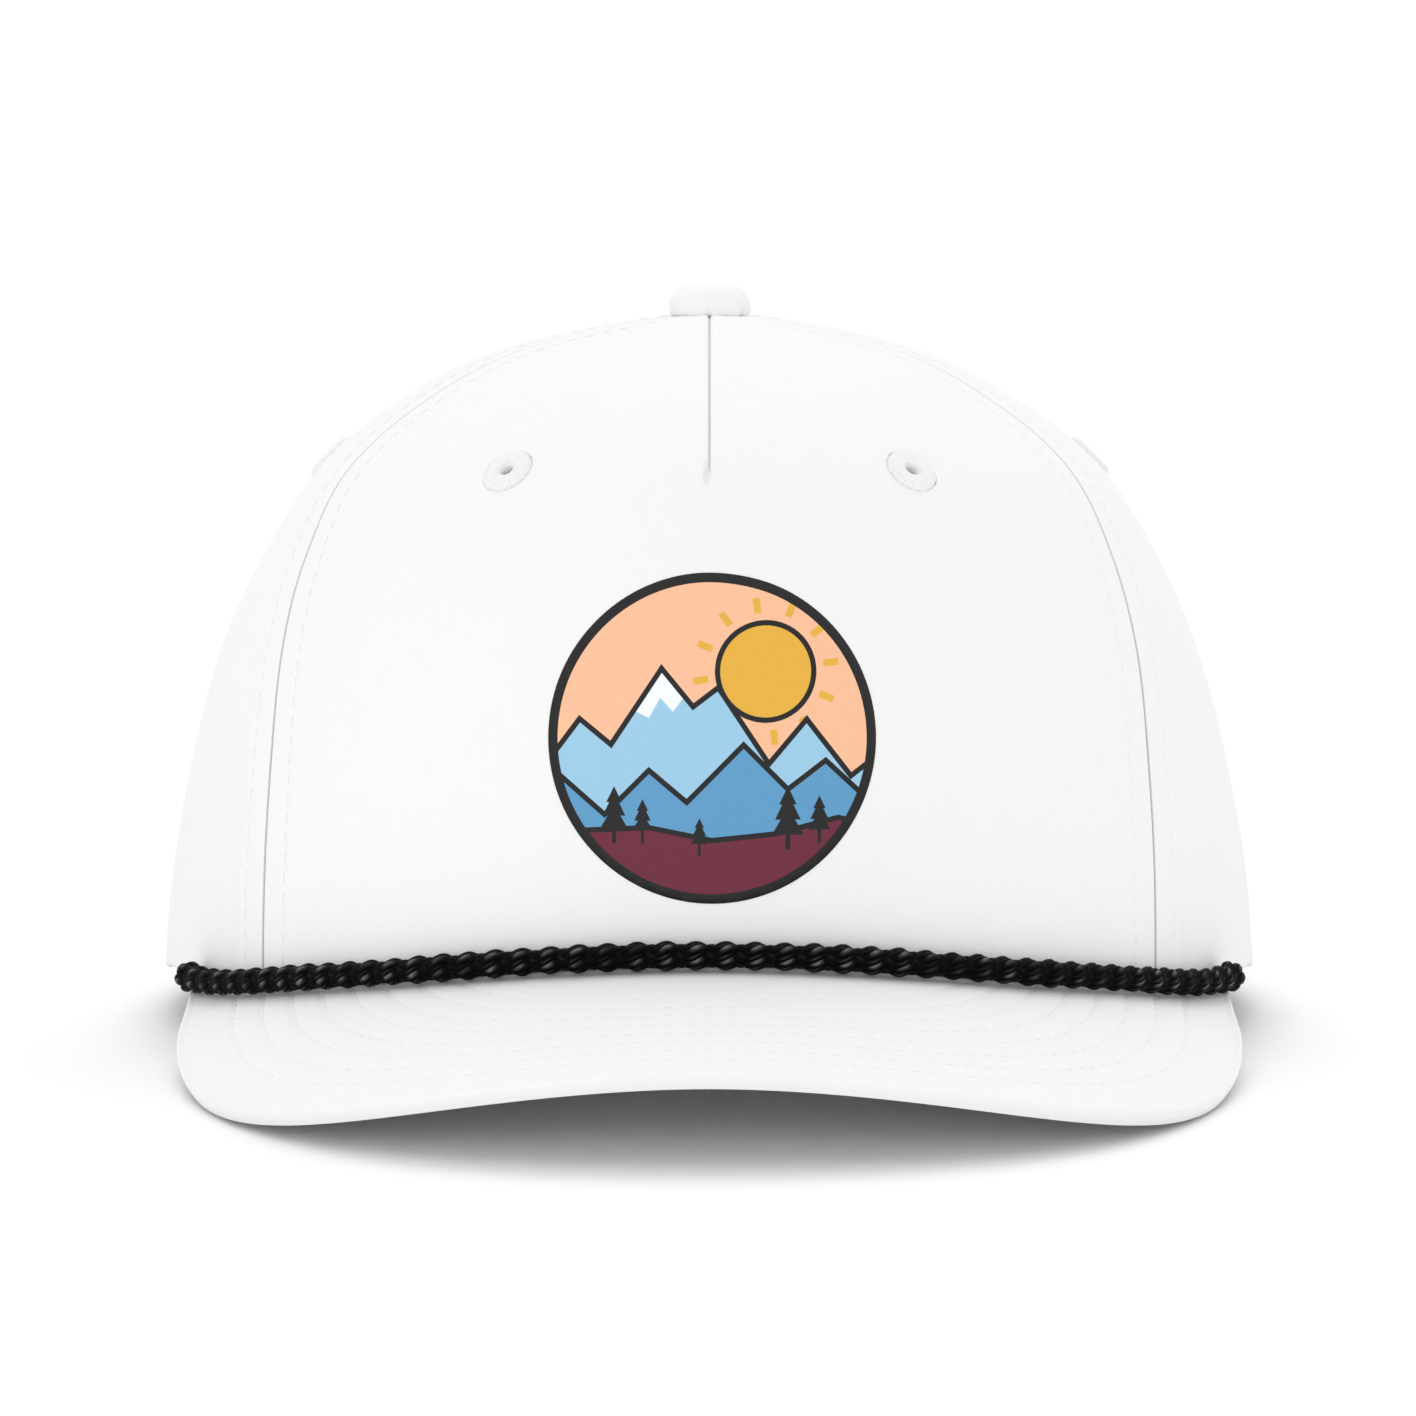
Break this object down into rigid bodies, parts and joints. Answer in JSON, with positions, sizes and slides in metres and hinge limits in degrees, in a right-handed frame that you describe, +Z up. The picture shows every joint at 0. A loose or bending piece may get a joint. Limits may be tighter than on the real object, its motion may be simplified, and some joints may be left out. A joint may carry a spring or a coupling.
{
  "type": "five-panel rope cap",
  "caption": "Structured cap with a wide front panel, curved peak, rope along the peak joint, covered button, sewn eyelets and a strap across the back opening.",
  "frame": {"origin": "on the surface that the cap stands on, under the middle of its box", "axes": "+Z up; the peak points along -Y; +X is the wearer's left"},
  "size_m": [0.18, 0.2646, 0.1198],
  "materials": {
    "cloth": "matt white woven cloth, stiffened",
    "thread": "white satin-stitched thread",
    "band": "soft white twill",
    "braid": "black braided cord with a slight sheen",
    "strap_plastic": "satin white moulded plastic"
  },
  "bodies": {
    "root": {"front_panel": "cloth", "side_panel_left": "cloth", "side_panel_right": "cloth", "back_panel_left": "cloth", "back_panel_right": "cloth", "peak": "cloth", "rope": "braid", "button": "cloth", "eyelet_front_left": "thread", "eyelet_front_right": "thread", "eyelet_side_left": "thread", "eyelet_side_right": "thread", "eyelet_back_left": "thread", "eyelet_back_right": "thread", "sweatband": "band", "back_strap": "strap_plastic"}
  },
  "joints": []
}
